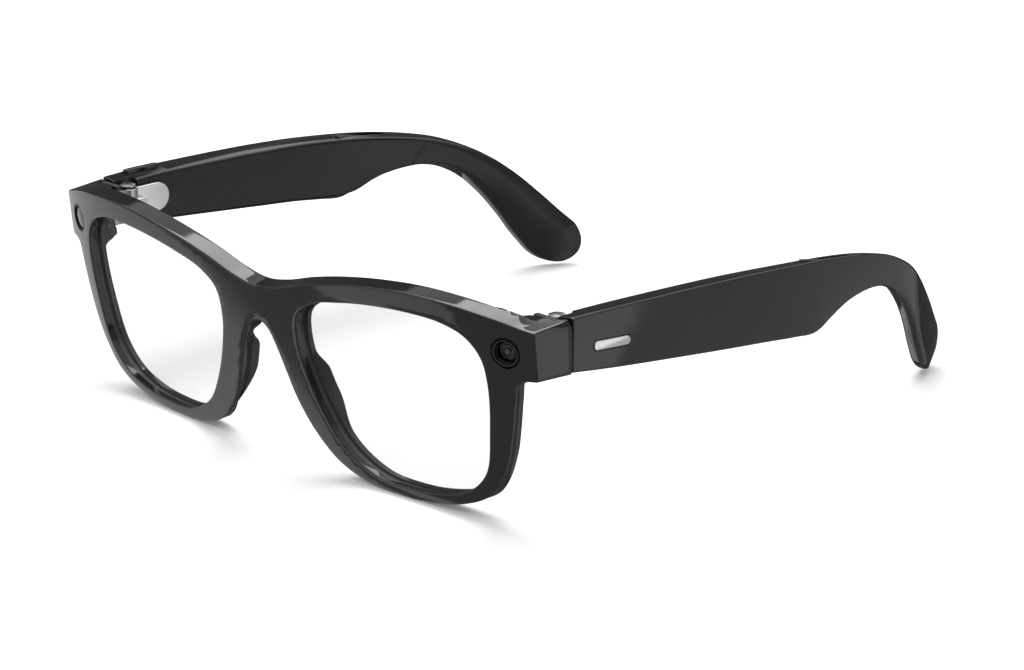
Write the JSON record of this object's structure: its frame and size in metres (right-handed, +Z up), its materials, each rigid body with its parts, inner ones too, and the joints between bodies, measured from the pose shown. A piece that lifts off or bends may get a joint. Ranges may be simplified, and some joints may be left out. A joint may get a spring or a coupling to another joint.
{
  "type": "smart glasses",
  "caption": "Full-rim smart glasses with clear lenses, a camera and a capture light in the end pieces, and folding temples that hold the speakers, battery and controls.",
  "frame": {"origin": "middle of the bounding box, on the floor plane the rims and ear tips rest on", "axes": "+Z up, +Y back towards the ear tips, +X to the wearer's left"},
  "size_m": [0.1492, 0.1512, 0.0463],
  "materials": {
    "frame_gloss_black": "glossy",
    "satin_black": "satin",
    "nose_pad_black": "satin",
    "clear_lens": "polished, clear demo lens",
    "dark_glass": "polished, dark",
    "light_diffuser": "dark translucent",
    "hinge_steel": "satin",
    "badge_steel": "polished",
    "contact_gold": "polished",
    "board": "satin",
    "cell": "satin",
    "flex_cable": "satin",
    "speaker_mesh": "dark, woven"
  },
  "bodies": {
    "front": {"front_frame": "frame_gloss_black", "front_flex_cable": "flex_cable", "nose_microphone": "satin_black", "camera_bezel": "satin_black", "camera_cover_glass": "dark_glass", "camera_lens_barrel": "satin_black", "camera_module": "satin_black", "capture_light_bezel": "satin_black", "capture_light_diffuser": "light_diffuser", "capture_light_board": "board", "left_lens": "clear_lens", "left_nose_pad": "nose_pad_black", "left_charge_contact": "contact_gold", "left_end_cover": "satin_black", "left_hinge_front_leaf": "hinge_steel", "left_hinge_screw": "hinge_steel", "right_lens": "clear_lens", "right_nose_pad": "nose_pad_black", "right_charge_contact": "contact_gold", "right_end_cover": "satin_black", "right_hinge_front_leaf": "hinge_steel", "right_hinge_screw": "hinge_steel"},
    "left_temple": {"left_temple_housing": "frame_gloss_black", "left_temple_cover": "frame_gloss_black", "left_hinge_temple_leaf": "hinge_steel", "left_speaker": "satin_black", "left_speaker_grille": "speaker_mesh", "left_badge": "badge_steel", "left_battery": "cell", "left_power_board": "board", "left_temple_microphone": "satin_black"},
    "right_temple": {"right_temple_housing": "frame_gloss_black", "right_temple_cover": "frame_gloss_black", "right_hinge_temple_leaf": "hinge_steel", "right_speaker": "satin_black", "right_speaker_grille": "speaker_mesh", "right_badge": "badge_steel", "right_main_board": "board", "right_processor_shield": "cell", "right_touch_sensor": "flex_cable", "right_tact_switch": "satin_black"},
    "power_switch": {"left_power_switch": "satin_black"},
    "capture_button": {"right_capture_button": "frame_gloss_black"}
  },
  "joints": [
    {"name": "left_temple_hinge", "type": "hinge", "parent": "front", "child": "left_temple", "pos_m": [0.0663, -0.05531, 0.0376], "axis": [0, 0, 1], "range_deg": [0, 84]},
    {"name": "right_temple_hinge", "type": "hinge", "parent": "front", "child": "right_temple", "pos_m": [-0.0663, -0.05531, 0.0376], "axis": [0, 0, -1], "range_deg": [0, 66]},
    {"name": "capture_button_press", "type": "slide", "parent": "right_temple", "child": "capture_button", "axis": [0, 0, -1], "range_m": [0, 0.00035], "stiffness_N_per_m": 800},
    {"name": "power_switch_slide", "type": "slide", "parent": "left_temple", "child": "power_switch", "axis": [0, 1, 0], "range_m": [0, 0.002]}
  ]
}
